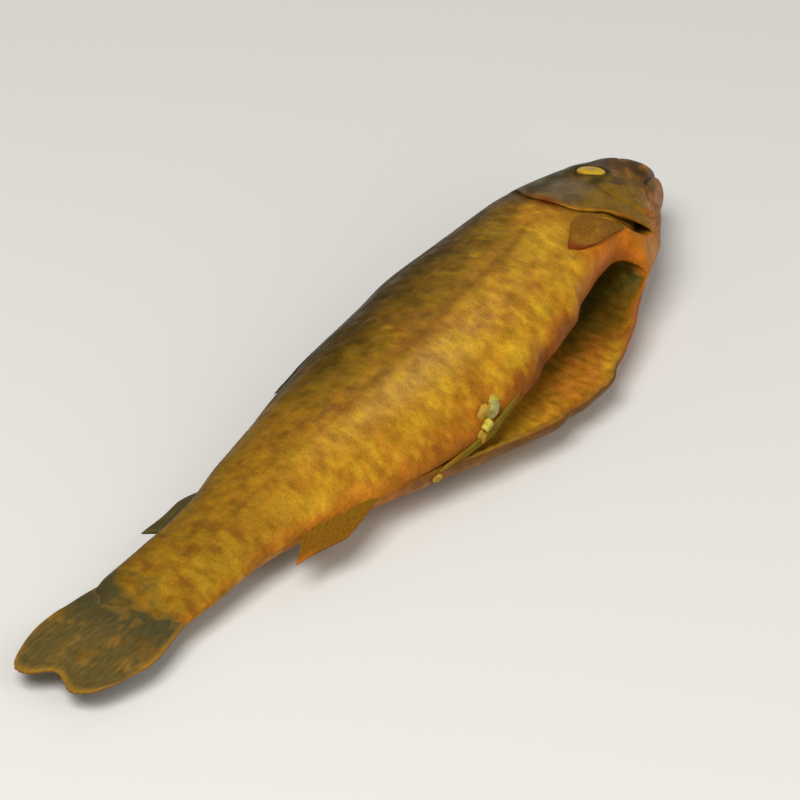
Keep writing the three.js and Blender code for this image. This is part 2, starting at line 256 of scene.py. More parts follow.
def hollow(s, angle, edge):
    c, n = np.cos(rad(angle)), np.sin(rad(angle))
    wall = mix(EDGE_WALL, WALL, ease(0, 50, fold(angle)))
    y = np.where(c > 0, -c * (belly(s) - wall), -c * HOLLOW_ROOF * back(s))
    z = np.sign(n) * np.abs(n) ** 0.8 * (half(s) - wall)
    move_y, move_z = flap_shift(s, angle)
    deep = ease(CUT_START, CUT_START + HOLLOW_TAPER, s) * ease(CUT_END, CUT_END - HOLLOW_TAPER, s)
    full = np.stack([s + 0 * y, side(s) + y + move_y, lift(s) + np.maximum(-FLOOR_DROP, z + move_z)], axis=-1)
    return mix(edge, full, mix(0.12, 1, deep)[..., None])


def flank(s, y, which):
    """Height of the right (+1) or left (-1) flank over a place in plan."""
    local = y - side(s)
    depth = np.where(local > 0, back(s), belly(s))
    angle = np.arccos(np.clip(-local / depth, -1, 1)) / rad(1)
    return skin(s, np.where(which > 0, angle, 360 - angle))[..., 2]


def gill_free(angle):
    """How free the gill cover stands from the body at an angle, from 0 to 1."""
    return between(fold(angle), *GILL_WINDOW) * mix(COVER_CLINGS, 1, ease(78, 48, fold(angle)))


# the gill cover's rim: distance behind its edge, height off the skin, and that distance where it lies flush
COVER_RIM = np.array([
    (0, COVER_RISE, 0),
    (0.1, 0.3, 0.5),
    (-3, -0.5, 1),
    (-2.9, -1.9, 1.5),
    (1, -1.2, 2.2),
    (4, -0.3, 4),
    (4.4, 0, 4.4),
])


def skin_rows(angle, behind):
    """Distance from the snout and height off the surface, for each row and each angle."""
    a, free = fold(angle), gill_free(angle)
    edge = gill_edge(a)
    t = (np.arange(HEAD_ROWS)[:, None] / HEAD_ROWS) ** 1.1
    head, cover = mix(SNOUT, edge, t), COVER_RISE * ease(0.6, 1, t) * free
    bends = len(COVER_RIM) - 1
    u = np.arange(0, bends, 0.25)[:, None]
    along, height, flush = (np.interp(u, range(bends + 1), COVER_RIM[:, k]) for k in range(3))
    height = height - np.where(height < 0, NOTCH_DEPTH, 0) * bump(a, NOTCH_AT, NOTCH_SPREAD)
    rim = edge + mix(flush, along, free)
    shoulder, body = (np.arange(1, count + 1)[:, None] / count for count in (SHOULDER_ROWS, behind))
    shoulder = mix(edge + COVER_RIM[-1, 0], SHOULDER_END, shoulder)
    body = mix(SHOULDER_END, BODY_END, body) + 0 * a
    rise = np.concatenate([cover, height * free, 0 * shoulder, 0 * body])
    return np.concatenate([head, rim, shoulder, body]), rise


def weld(points, faces):
    """Joins repeated points and drops what closes up. Returns which points stay, the faces and which stay."""
    places = np.round(points * 1e4).astype(np.int64)
    _, first, onto = np.unique(places, axis=0, return_index=True, return_inverse=True)
    rings, numbers = [], []
    for place, face in enumerate(onto.reshape(-1)[faces].tolist()):
        ring = [v for k, v in enumerate(face) if v != face[k - 1]]
        if len(set(ring)) == len(ring) and len(ring) > 2:
            rings.append(ring)
            numbers.append(place)
    return first, rings, np.array(numbers)


def grid_faces(rows, columns, wrap=False):
    i, j = np.meshgrid(np.arange(rows - 1), np.arange(columns if wrap else columns - 1), indexing="ij")
    a = i * columns + j
    b = i * columns + (j + 1) % columns
    return np.stack([a, b, b + columns, a + columns], axis=-1).reshape(-1, 4)


def normals_of(points, faces):
    total = np.zeros_like(points)
    for count in (3, 4):
        chosen = np.array([f for f in faces if len(f) == count])
        if len(chosen):
            a, b, c, d = (points[chosen[:, k]] for k in (0, 1, 2, -1))
            for k in range(count):
                np.add.at(total, chosen[:, k], np.cross(c - a, d - b))
    return total / np.maximum(np.linalg.norm(total, axis=1, keepdims=True), 1e-9)


ATTRIBUTES = {1: ("FLOAT", "value"), 3: ("FLOAT_VECTOR", "vector"), 4: ("FLOAT_COLOR", "color")}


def make_piece(name, points, faces, paint, values, materials, slots=None):
    """A mesh from points in millimetres, with its painted colour and its values for the materials."""
    mesh = bpy.data.meshes.new(name)
    mesh.from_pydata(frame_metres(points).tolist(), [], faces)
    mesh.polygons.foreach_set("use_smooth", [True] * len(mesh.polygons))
    values = {"smoke_colour": np.column_stack([paint, np.ones(len(points))]), **values}
    for key, data in values.items():
        kind, field = ATTRIBUTES[data.size // len(data)]
        mesh.attributes.new(key, kind, "POINT").data.foreach_set(field, data.astype(np.float32).ravel())
    for material in materials:
        mesh.materials.append(material)
    if slots is not None:
        mesh.polygons.foreach_set("material_index", np.asarray(slots, np.int32))
    mesh.validate()
    mesh.update()
    piece = bpy.data.objects.new(name, mesh)
    bpy.context.scene.collection.objects.link(piece)
    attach(piece, BODY)
    return piece


# Materials

NOISE_SPAN = (0.3, 0.7)  # what most of the noise lies between


def glow(weight, reach, red_green_blue=(1.0, 0.6, 0.25)):
    """Light that reaches into flesh: how much, how far in metres and how far for each colour."""
    return {"Subsurface Weight": weight, "Subsurface Scale": reach, "Subsurface Radius": red_green_blue}


def add_node(tree, kind, settings=None, inputs=None):
    """Adds a shader node; each input is a value or another node's output."""
    node = tree.nodes.new("ShaderNode" + kind)
    for key, value in (settings or {}).items():
        setattr(node, key, value)
    connect(tree, node, inputs or {})
    return node


def connect(tree, node, inputs):
    for key, value in inputs.items():
        if isinstance(value, NodeSocket):
            tree.links.new(value, node.inputs[key])
        else:
            node.inputs[key].default_value = value


def start_material(name, shader):
    """A named material with one principled shader, whose constant values are set on its own sockets."""
    material = bpy.data.materials.get(name) or bpy.data.materials.new(name)
    material.use_nodes = True
    tree = material.node_tree
    tree.nodes.clear()
    principled = add_node(tree, "BsdfPrincipled", inputs=shader)
    add_node(tree, "OutputMaterial", inputs={"Surface": principled.outputs["BSDF"]})
    return material, tree, principled


def pattern(tree, kind, size, settings=None, **inputs):
    """A texture on the surface in cells of the given size in millimetres, along and around the body."""
    place = add_node(tree, "Attribute", {"attribute_name": "skin_mm"}).outputs["Vector"]
    cells = {"Vector": place, "Scale": (1 / size[0], 1 / size[1], 1)}
    cells = add_node(tree, "Mapping", inputs=cells).outputs["Vector"]
    return add_node(tree, kind, settings, {"Vector": cells, "Scale": 1, **inputs})


def carried(value, span, result):
    """Inputs that carry a value over from one span to another."""
    ends = zip(("From Min", "From Max", "To Min", "To Max"), (*span, *result))
    return {"Value": value, **dict(ends)}


def shaded_paint(tree, tone, span, shades):
    """The painted colour, darkened and lightened by a tone."""
    paint = add_node(tree, "Attribute", {"attribute_name": "smoke_colour"}).outputs["Color"]
    shade = add_node(tree, "MapRange", inputs=carried(tone, span, shades)).outputs[0]
    scaled = {0: paint, "Scale": shade}
    return add_node(tree, "VectorMath", {"operation": "SCALE"}, scaled).outputs[0]


def follow_grain(tree, shader, size, shades, strength, depth, span=NOISE_SPAN, gloss=None, **noise):
    """Shades, relief and, where it is given, roughness that follow a grain of the given size."""
    grain = pattern(tree, "TexNoise", size, **noise).outputs["Fac"]
    relief = {"Height": grain, "Strength": strength, "Distance": depth}
    relief = add_node(tree, "Bump", inputs=relief)
    paint = shaded_paint(tree, grain, span, shades)
    connect(tree, shader, {"Base Color": paint, "Normal": relief.outputs["Normal"]})
    if gloss:
        rough = add_node(tree, "MapRange", inputs=carried(grain, NOISE_SPAN, gloss))
        connect(tree, shader, {"Roughness": rough.outputs[0]})


def smoked_skin():
    """Trout skin, cured and hot smoked: thin, tight and lightly oiled, so it is satin with a soft glow."""
    look = bpy.context.scene.trout_skin
    material, tree, shader = start_material("smoked_skin", {
        "IOR": 1.36,
        "Specular IOR Level": 0.22,
        "Specular Tint": (1.0, 0.66, 0.15, 1.0),
        "Metallic": 0.12,
        **glow(0.04, 0.001),
    })
    # smoke settles in short streaks across the flank, about 2 mm wide
    streaks = pattern(tree, "TexNoise", (1.7, 3.4), Detail=4, Roughness=0.7).outputs["Fac"]
    # blotches of 6 mm where oil has come through
    blotches = pattern(tree, "TexNoise", (6, 5), Detail=3).outputs["Fac"]
    # the scales' pigment cells, 0.5 mm
    grain = pattern(tree, "TexNoise", (0.5, 0.5), Detail=2).outputs["Fac"]
    tone = add_node(tree, "Math", {"operation": "ADD"}, {0: streaks, 1: blotches}).outputs[0]
    tone = add_node(tree, "Math", {"operation": "MULTIPLY_ADD"}, {0: grain, 1: 0.9, 2: tone})
    mottled = shaded_paint(tree, tone.outputs[0], (1.05, 1.85), (look.mottle_low, look.mottle_high))
    # black pigment spots on the back, 1 to 2 mm
    dots = pattern(tree, "TexVoronoi", (4.2, 3.2), {"feature": "F1"}).outputs["Distance"]
    dots = add_node(tree, "MapRange", inputs=carried(dots, (0.08, 0.5), (0.45, 0))).outputs[0]
    shown = add_node(tree, "Attribute", {"attribute_name": "spots"}).outputs["Fac"]
    shown = add_node(tree, "Math", {"operation": "MULTIPLY"}, {0: dots, 1: shown}).outputs[0]
    spotted = {"Factor": shown, "A": mottled, "B": (*look.spot, 1)}
    spotted = add_node(tree, "Mix", {"data_type": "RGBA"}, spotted).outputs["Result"]
    gloss = carried(blotches, NOISE_SPAN, (look.roughness + 0.1, look.roughness - 0.08))
    gloss = add_node(tree, "MapRange", inputs=gloss).outputs[0]
    scales = pattern(tree, "TexVoronoi", (1.5, 1.3), {"feature": "SMOOTH_F1"}, Randomness=0.5)
    relief = {0: scales.outputs["Distance"], 1: -0.6, 2: grain}
    relief = add_node(tree, "Math", {"operation": "MULTIPLY_ADD"}, relief).outputs[0]
    relief = add_node(tree, "Bump", inputs={"Height": relief, "Strength": 0.35, "Distance": 0.0003})
    connect(tree, shader, {"Base Color": spotted, "Roughness": gloss, "Normal": relief.outputs["Normal"]})
    return material


def cured_flesh():
    """Cut trout flesh, dried by the smoke: pale, fibrous and a little waxy."""
    material, tree, shader = start_material("cured_flesh", {
        "IOR": 1.4,
        "Roughness": 0.5,
        "Specular IOR Level": 0.3,
        **glow(0.08, 0.0015),
    })
    # muscle fibres along the cut, 0.6 mm apart
    follow_grain(tree, shader, (3, 0.6), (0.75, 1.2), 0.5, 0.0004, Detail=3)
    return material


def belly_lining():
    """The thin black-green membrane inside the belly, moist and oily, with the ribs showing through."""
    material, tree, shader = start_material("belly_lining", {
        "IOR": 1.42,
        "Specular IOR Level": 0.25,
        "Specular Tint": (1.0, 0.8, 0.35, 1.0),
    })
    # wrinkles of the membrane, 2 mm
    wrinkles = {"span": (0.35, 0.7), "gloss": (0.3, 0.55), "Detail": 4, "Roughness": 0.6}
    follow_grain(tree, shader, (2, 3.5), (0.75, 1.3), 0.4, 0.0004, **wrinkles)
    return material


def dried_fin():
    """Fin membrane on bony rays, dried stiff: thin enough that light comes through as amber."""
    rough = bpy.context.scene.trout_fins.roughness
    material, tree, shader = start_material("dried_fin", {
        "IOR": 1.45,
        "Specular IOR Level": 0.12,
        "Specular Tint": (1.0, 0.7, 0.2, 1.0),
        **glow(0.08, 0.001),
    })
    # the rays split into joints about 0.8 mm long
    gloss = (rough - 0.08, rough + 0.1)
    follow_grain(tree, shader, (2.2, 0.7), (0.78, 1.2), 0.4, 0.0003, gloss=gloss, Detail=3)
    return material


def cooked_fat():
    """Fat and gristle set pale by the heat: soft edged, moist and slightly see-through."""
    material, tree, shader = start_material("cooked_fat", {
        "IOR": 1.44,
        "Roughness": 0.4,
        "Specular IOR Level": 0.25,
        **glow(0.12, 0.001, (1.0, 0.8, 0.4)),
    })
    # grains of 0.7 mm
    follow_grain(tree, shader, (0.7, 0.7), (0.8, 1.15), 0.4, 0.0003, Detail=3)
    return material


def cooked_eye():
    """A cooked eye: the clear front has clouded over a brassy ring."""
    material, tree, shader = start_material("cooked_eye", {
        "IOR": 1.38,
        "Roughness": 0.32,
        "Specular IOR Level": 0.3,
        "Coat Weight": 0.12,
        "Coat Roughness": 0.2,
    })
    # flecks of the iris, 0.6 mm
    follow_grain(tree, shader, (0.6, 0.6), (0.75, 1.2), 0.3, 0.0002, Detail=3)
    return material


def studio_paper():
    """Seamless matt background paper under and behind the fish."""
    paper = (*bpy.context.scene.trout_stage.floor, 1)
    return start_material("studio_paper", {"Roughness": 0.85, "IOR": 1.45, "Base Color": paper})[0]


# Painting. A zone is given by s and the folded angle q: 0 on the belly, 90 on a flank, 180 on the back

def painted(base, *coats):
    """A tint, or colours, with coats of (tint, weight) laid over it one by one."""
    paint = np.asarray(base)
    for tint, weight in coats:
        paint = paint + (np.asarray(tint) - paint) * np.clip(weight, 0, 1)[:, None]
    return paint


def flank_line(s):
    """Angle of the lateral line, which sinks from the shoulder to the tail."""
    return np.interp(s, [66, 80, 90, 115, 150, 200, 240], [101, 97, 92, 90, 85, 83, 82])


def paint_flank(look, s, angle, arc, small, flecks, above):
    """Gold flank with its stripe, and the belly: orange, and red-brown along the cut."""
    q = fold(angle)
    wide, tiny = cloud(s / 18, arc / 13), cloud(s / 1.8, arc / 2.6, 9.0)
    light = mix(0.65, 0.4, ease(180, 210, s)) * ease(0.05, 0.75, flecks)
    return painted(
        look.gold,
        (look.yellow, 0.2 + 0.3 * wide + 0.25 * small),
        (look.orange, 0.1 - 0.35 * wide + 0.25 * tiny),
        # paler where the flank is thickest, and yellow on the shoulder, the belly and in front of the tail:
        # the skin's own yellow, painted brighter there as highlights
        (look.tan, 0.75 * bump(q, 71, 13) * bump(s, 150, 36)),
        (look.yellow, 0.6 * bump(s, 84, 14) * bump(q, 82, 12)),
        (look.yellow, (0.45 + 0.4 * small) * bump(s, 102, 24) * bump(q, 48, 13)),
        (look.yellow, (0.2 + 0.4 * small) * between(s, 190, 204, 238, 252) * bump(q, 44, 20)),
        # the belly
        (look.orange, 0.85 * ease(36, 16, q + 5 * wide + 4 * small)),
        (look.rust, 0.75 * ease(30, 8, q + 5 * small) * between(s, 88, 100, 140, 152)),
        (look.rust, 0.7 * ease(16, 2, q + 3 * small) * between(s, 60, 70, 170, 190)),
        (look.brown, 0.85 * (angle > 180) * ease(40, 10, q + 4 * small) * between(s, 56, 66, 170, 186)),
        (look.rust, 0.5 * bump(s, 166, 10) * bump(q, 20, 13)),
        # flecks of oil and smoke on the scales: light ones are the scales' gold with painted glints, dark
        # ones are smoke
        (look.yellow, light * ease(10, 34, q)),
        (look.brown, 0.3 * ease(-0.05, -0.75, flecks)),
        (look.hind, 0.4 * ease(185, 215, s) * ease(16, 40, q)),
        # the brown stripe on the middle of the flank, with the lateral line in it
        (look.stripe, (0.6 + 0.3 * small) * bump(above, 1, 9) * between(s, 76, 96, 170, 205)),
        (look.brown, mix(0.4, 0.22, ease(140, 165, s)) * bump(above, 0, 2.4) * between(s, 70, 84, 215, 250)),
    )


def paint_back(look, paint, s, q, arc, small, flecks, above):
    """Olive back, mottled with gold, darkest at the very top, and the stalk of the tail in streaks."""
    light, dark = ease(0.05, 0.75, flecks), ease(-0.05, -0.75, flecks)
    fore = mix(0.12, 1, ease(198, 150, s))
    smudge = ease(-0.35, 0.5, cloud(s / 7, arc / 4.5, 21.0)) * between(s, 112, 130, 188, 206)
    stalk, streak = ease(205, 232, s), cloud(s / 2.6, arc / 6, 2.0)
    return painted(
        paint,
        (look.olive, 0.95 * ease(2, 17, above + 6 * small + 3 * flecks)),
        # light flecks on the upper flank: the scales' gold with painted glints
        (look.yellow, 0.3 * light * between(above, 4, 12, 24, 46)),
        (look.hind, 0.8 * ease(145, 190, s) * ease(6, 22, above)),
        (look.gold, 0.55 * ease(165, 195, s) * between(above, 2, 14, 36, 60)),
        (look.back, 0.9 * fore * ease(15, 44, above + 9 * small + 5 * flecks)),
        (look.brown, 0.38 * dark * between(above, 4, 14, 30, 46)),
        (look.ridge, 0.95 * fore * ease(134, 154, q + 5 * small)),
        (look.smudge, 0.65 * smudge * bump(above, 9, 8)),
        # the stalk, slate at its end and on its ridge
        (look.hind, 0.7 * stalk * ease(155, 135, q) * ease(-0.7, 0.5, streak)),
        (look.yellow, 0.35 * stalk * ease(0, 0.7, streak) * ease(112, 84, q)),
        (look.brown, 0.65 * stalk * ease(0, -0.7, streak)),
        (look.slate, ease(254, 263, s + 4 * streak + 3 * small + 5 * bump(q, 180, 60))),
        (look.slate, 0.8 * ease(196, 214, s) * ease(146, 160, q + 6 * small)),
    )


def paint_head(look, paint, s, angle, arc, small):
    """Head, dark on top and round the eye, with a greyish gill cover, and the orange breast behind it."""
    q = fold(angle)
    edge = gill_edge(q)
    head = ease(2, -2, s - edge)
    marks = cloud(s / 4.2, arc / 3.4, 4.0)
    breast = ease(0, 3, s - edge) * ease(92, 70, s) * ease(60, 40, q + 5 * small)
    # orange streaks run back from the jaw
    streaks = ease(0, 0.6, cloud((s + 0.35 * q) / 3.4, (q - 0.8 * s) / 16, 14.0))
    streaks = streaks * ease(76, 52, q - 45 * ease(34, 26, s)) * ease(8, 14, s)
    return painted(
        paint,
        (look.cheek, head),
        (look.cover, 0.9 * head * bump(s, 55, 10) * ease(74, 94, q + 6 * small)),
        (look.snout, head * ease(34, 24, s + 3 * small)),
        (look.orange, 0.75 * head * streaks),
        (look.orange, 0.75 * head * ease(50, 30, q + 8 * small)),
        (look.rust, 0.55 * head * ease(44, 20, q + 8 * small) * ease(42, 32, s)),
        (look.crown, mix(0.7, 0.35, ease(44, 50, s)) * head * ease(0, 0.6, marks) * ease(54, 80, q)),
        (look.hind, 0.4 * head * ease(-0.1, -0.7, marks) * ease(104, 80, q)),
        (look.crown, 0.6 * head * bump(s, 41, 5) * bump(q, 90, 8)),
        (look.crown, 0.9 * head * ease(106, 124, q + 8 * small)),
        # red-brown rim of the gill cover
        (look.rust, 0.6 * bump(s, edge - 0.6, 1.5) * gill_free(angle) * ease(36, 60, q)),
        (look.red, 0.85 * bump(s, edge + 0.7, 1.7) * bump(q, 101, 10)),
        (look.breast, 0.9 * breast),
        (look.rust, 0.6 * breast * ease(20, 4, q) * ease(54, 60, s)),
        (look.gold, 0.8 * breast * ease(58, 50, s) * ease(-0.5, 0.4, cloud(s / 8, q / 7, 17.0))),
    )


def paint_skin(look, s, angle, arc):
    """Colours of the skin from its place on the fish, and how strongly the dark spots show."""
    q = fold(angle)
    small, flecks = cloud(s / 6, arc / 5, 5.0), cloud(s / 2.3, arc / 3.8, 31.0)
    above = q - flank_line(s) - 0.8 * small
    paint = paint_flank(look, s, angle, arc, small, flecks, above)
    paint = paint_back(look, paint, s, q, arc, small, flecks, above)
    paint = paint_head(look, paint, s, angle, arc, small)
    behind = s - gill_edge(q)
    spots = 0.75 * ease(4, 22, above) * ease(250, 235, s) * ease(0, 4, behind)
    spots = np.maximum(spots, 0.6 * ease(2, -2, behind) * ease(80, 110, q))
    return np.clip(paint, 0, 1), spots


def paint_lining(look, s, angle, arc):
    """Dark membrane deep inside, golden flesh on the lower flap with painted shade at its front and painted
    light further back, brown near the upper edge.
    """
    q = fold(angle)
    small, tiny = cloud(s / 5, arc / 4, 6.0), cloud(s / 2, arc / 3, 12.0)
    lower = angle > 180
    reach = np.interp(s, [54, 70, 110, 178], [36, 44, 56, 70]) + 8 * small
    flap = lower * ease(reach + 9, reach - 9, q)
    return painted(
        look.lining,
        (look.gall, ease(-0.2, 0.5, small)),
        (look.orange, 0.95 * flap),
        (look.gold, 0.7 * flap * ease(-0.5, 0.5, tiny + small)),
        (look.yellow, 0.8 * flap * bump(s, 88, 12) * ease(26, 6, q)),
        (look.rust, 0.6 * flap * ease(0, 0.7, cloud(s / 3, arc / 7, 7.0)) * ease(112, 84, s)),
        # painted shade at the front of the hollow: the lining's colour and the back's dark olive over the
        # front of the lower flap
        (look.lining, 0.75 * flap * ease(84, 64, s) * ease(8, 30, q)),
        (look.back, 0.6 * lower * ease(96, 68, s) * ease(12, 30, q)),
        # painted light: brighter yellow on the rear of the lower flap, against the shade of the hollow
        (look.yellow, 0.5 * flap * ease(108, 128, s)),
        (look.rust, 0.9 * ~lower * ease(26, 6, q)),
    )


# Relief, in millimetres

def skin_height(s, angle, arc):
    q = fold(angle)
    edge = gill_edge(q)
    body = ease(3, 9, s - edge) * ease(262, 250, s)
    head = ease(1, -3, s - edge)
    dents = 0.35 * cloud(s / 19, arc / 15, 1.0, 2) * ease(8, 30, s)
    # shallow wrinkles along the body where the flesh has shrunk
    wrinkles = 0.16 * cloud(s / 13, arc / 2.4, 3.0, 2) * ease(20, 60, q)
    # muscle blocks, 6 mm apart, bent like a chevron about the middle of the flank
    chevron = s + 5.5 * np.abs(np.cos(rad(2 * (q - 90)))) - 9 * np.abs(np.cos(rad(q)))
    blocks = (0.5 + 0.5 * np.cos(chevron * (TURN / 6.2))) ** 6
    blocks = 0.22 * blocks * ease(66, 90, s) * between(q, 20, 50, 120, 150)
    line = 0.2 * bump(q, flank_line(s) + 0.8 * cloud(s / 6, arc / 5, 5.0), 2)
    # scales, 2 mm by 1.6 mm in a staggered net
    u, v = s / 2, arc / 1.6
    scales = 0.07 * np.cos(math.pi * (u + v)) * np.cos(math.pi * (u - v))
    # bones of the head: the fore cover's edge, the seam of the cover, the brow and the rays under the jaw
    fore = np.interp(q, [20, 45, 70, 95, 120], [30, 41, 45, 44, 41])
    cover = (0.35 * bump(s, fore - 3, 2.2) - 0.8 * bump(s, fore, 1.1)) * between(q, 22, 38, 104, 118)
    seam = 0.45 * bump(q, 62 + 0.35 * (s - 44), 2.2) * ease(44, 48, s)
    brow = 1.4 * bump(s, 27, 5) * bump(q, 160, 20)
    jaw = 0.25 * np.cos(q * 0.9) * between(q, 12, 20, 34, 52) * ease(24, 32, s)
    return dents + body * (wrinkles - blocks - line + scales) + head * (cover - seam + brow + jaw)


def lining_height(s, arc):
    """Ribs 4.6 mm apart, which fade towards the ends of the cut, and soft folds."""
    ribs = np.cos(s * (TURN / 4.6)) * between(s, CUT_START, CUT_START + 14, CUT_END - 14, CUT_END)
    return 0.2 * ribs + 0.25 * cloud(s / 6, arc / 5, 8.0)


def mouth_gap(s, y):
    """The mouth: a narrow gap that closes towards the corner of the jaw."""
    t = np.clip((s - SNOUT) / MOUTH_LENGTH, 0, 1)
    return bump(y, mix(1, -6, t), mix(0.8, 0.4, t)) * ease(SNOUT + MOUTH_LENGTH + 1, 21, s)


def socket_height(socket, y):
    """An eye's socket, in a low ring with a ridge over it, by the distance from its middle."""
    ridge = 0.5 * bump(socket, 7, 1.4) * ease(0.2, 0.9, (y - EYE_Y) / 6)
    return 0.55 * bump(socket, 5.6, 0.9) - 1.3 * ease(4.9, 4, socket) + ridge


# Settings

def number(name, description, default, **limits):
    return FloatProperty(name=name, description=description, default=default, **limits)


class TroutSkin(PropertyGroup):
    rows: IntProperty(name="Rows", description="Rows along the body behind the shoulder", default=228, min=20)
    columns: IntProperty(name="Columns", description="Points around the body", default=196, min=40)
    relief: number("Relief", "Strength of scales, wrinkles and bones", 1.0, min=0)
    mottle_low: number("Dark mottle", "Brightness where the smoke is thickest", 0.62, min=0)
    mottle_high: number("Light mottle", "Brightness where the smoke is thinnest", 1.36, min=0)
    roughness: number("Roughness", "Roughness of the skin", 0.42, min=0, max=1)
    gold: colour("Gold", "Smoked flank", "#a87219")
    yellow: colour("Yellow", "Lightest patches of the flank", "#c59824")
    tan: colour("Tan", "Paler middle of the flank", "#b48a42")
    orange: colour("Orange", "Lower belly", "#ae681b")
    breast: colour("Breast", "Breast between the gill opening and the cut", "#b9651a")
    rust: colour("Rust", "Edges where the smoke is strongest", "#7a3f0e")
    red: colour("Red", "Rear rim of the gill cover", "#6b2c10")
    brown: colour("Brown", "Dark flecks and the lateral line", "#6b4614")
    stripe: colour("Stripe", "Stripe along the flank", "#7c541b")
    smudge: colour("Smudge", "Purple-brown smudges above the stripe", "#583e22")
    olive: colour("Olive", "Upper flank", "#775713")
    hind: colour("Hind", "Stalk of the tail", "#876416")
    back: colour("Back", "Back", "#40300a")
    ridge: colour("Ridge", "Line of the back", "#231d09")
    slate: colour("Slate", "End of the tail stalk", "#4a4224")
    cover: colour("Gill cover", "Gill cover", "#6b5d45")
    cheek: colour("Cheek", "Cheek", "#7c5c18")
    snout: colour("Snout", "Snout", "#553509")
    crown: colour("Crown", "Top of the head", "#332b12")
    spot: colour("Spots", "Pigment spots", "#1c1708")
    # painted shade for the gap under the gill cover
    gap: colour("Gap", "Dark gap under the gill cover", "#1c0e06")
    lining: colour("Lining", "Membrane inside the belly", "#665312")
    gall: colour("Gall", "Green stains inside the belly", "#4a4a17")


class TroutFins(PropertyGroup):
    roughness: number("Roughness", "Roughness of the fins", 0.42, min=0, max=1)
    slate: colour("Slate", "Tail fin", "#4a4326")
    olive: colour("Olive", "Middle of the tail fin", "#5f4f26")
    amber: colour("Amber", "Fins against the belly", "#7c5210")
    rim: colour("Rim", "Thin outer rim of the tail fin", "#9c6f22")
    membrane: colour("Membrane", "Right pelvic fin", "#75601a")
    tip: colour("Tip", "Reddish tips", "#74290e")
    fat: colour("Fat", "Adipose fin", "#4d4424")
    pale: colour("Pale", "Pale fat at the right pelvic fin", "#c4ae3c")
    curd: colour("Curd", "Greyest curd of that fat", "#a39854")
    fringe: colour("Fringe", "Smoke-stained edge of that fat", "#b38a24")


class TroutEyes(PropertyGroup):
    radius: number("Radius", "Radius of the eye in millimetres", 4.6, min=1)
    ring: colour("Ring", "Ring of the eye", "#c99f10")
    pupil: colour("Pupil", "Clouded middle of the eye", "#a3801a")
    rim: colour("Rim", "Dark edge of the eye", "#3a3018")


class TroutStage(PropertyGroup):
    floor: colour("Floor", "Background paper", "#dcdad4")
    azimuth: number("Azimuth", "Camera's turn round the fish, in degrees", -56.39)
    elevation: number("Elevation", "Camera's height above the horizon, in degrees", 33.95)
    roll: number("Roll", "Camera's turn about its own line of sight, in degrees", 3.3)
    distance: number("Distance", "Camera's distance from the fish", 1.2386, unit="LENGTH")
    lens: number("Lens", "Focal length in millimetres", 205)


# Pieces

def lengths_round(rings):
    """Distance round each row of points, from its first point."""
    steps = np.linalg.norm(np.diff(rings, axis=1), axis=-1)
    return np.concatenate([np.zeros((len(rings), 1)), np.cumsum(steps, axis=1)], axis=1)


def body_grid(around, behind):
    """The skin and the belly hollow as one closed grid.

    Returns the faces with their material slots and, for each point, its place, s, angle, length round
    the body, whether it lies in the hollow, and how much painted shade the gap under the gill cover gives it.
    """
    angle = np.linspace(0, 360, around + 1)
    at, raised = skin_rows(angle, behind)
    angles = np.broadcast_to(angle, at.shape)
    outer = skin(at, angles, raised)
    opened = (at[:, 0] > CUT_START) & (at[:, 0] < CUT_END)
    outer[~opened, -1] = outer[~opened, 0]
    t = np.linspace(0, 1, HOLLOW_COLUMNS)
    in_at = np.broadcast_to(at[:, :1], (len(at), HOLLOW_COLUMNS))
    in_angles = np.broadcast_to(360 * (1 - t), in_at.shape)
    edge = mix(outer[:, -1:, :], outer[:, :1, :], t[None, :, None])
    inner = np.where(opened[:, None, None], hollow(in_at, in_angles, edge), outer[:, :1, :])
    # the body closes on a point inside the root of the tail fin
    end = (outer[-1, around // 4] + outer[-1, 3 * around // 4]) / 2
    outer, inner = (np.concatenate([grid, np.tile(end, (1, grid.shape[1], 1))]) for grid in (outer, inner))
    grids = at, angles, in_at, in_angles
    at, angles, in_at, in_angles = (np.concatenate([grid, grid[-1:]]) for grid in grids)
    arc, in_arc = lengths_round(outer), lengths_round(inner)
    arc = arc - arc[:, [around // 4]]
    under_cover = np.zeros(at.shape[0])
    under_cover[GAP_ROWS] = 1

    def joined(skin_part, hollow_part):
        return np.concatenate([skin_part, hollow_part], axis=1).reshape(-1, *skin_part.shape[2:])

    columns = around + 1 + HOLLOW_COLUMNS
    turn = joined(angles, in_angles)
    lining = joined(np.zeros(at.shape), np.ones(in_at.shape))
    # painted shade in the gap under the gill cover's free rim, darkest at the notch
    gap = np.repeat(under_cover, columns) * gill_free(turn) * mix(0.3, 1, bump(fold(turn), NOTCH_AT, 9))
    values = (joined(outer, inner), joined(at, in_at), turn, joined(arc, in_arc), lining, gap)
    keep, rings, source = weld(values[0], grid_faces(len(at), columns, wrap=True))
    column = source % columns
    slots = np.where(column > around, 2, 0)
    slots = np.where((column == around) | (column == columns - 1), 1, slots)
    return rings, slots, *(value[keep] for value in values)


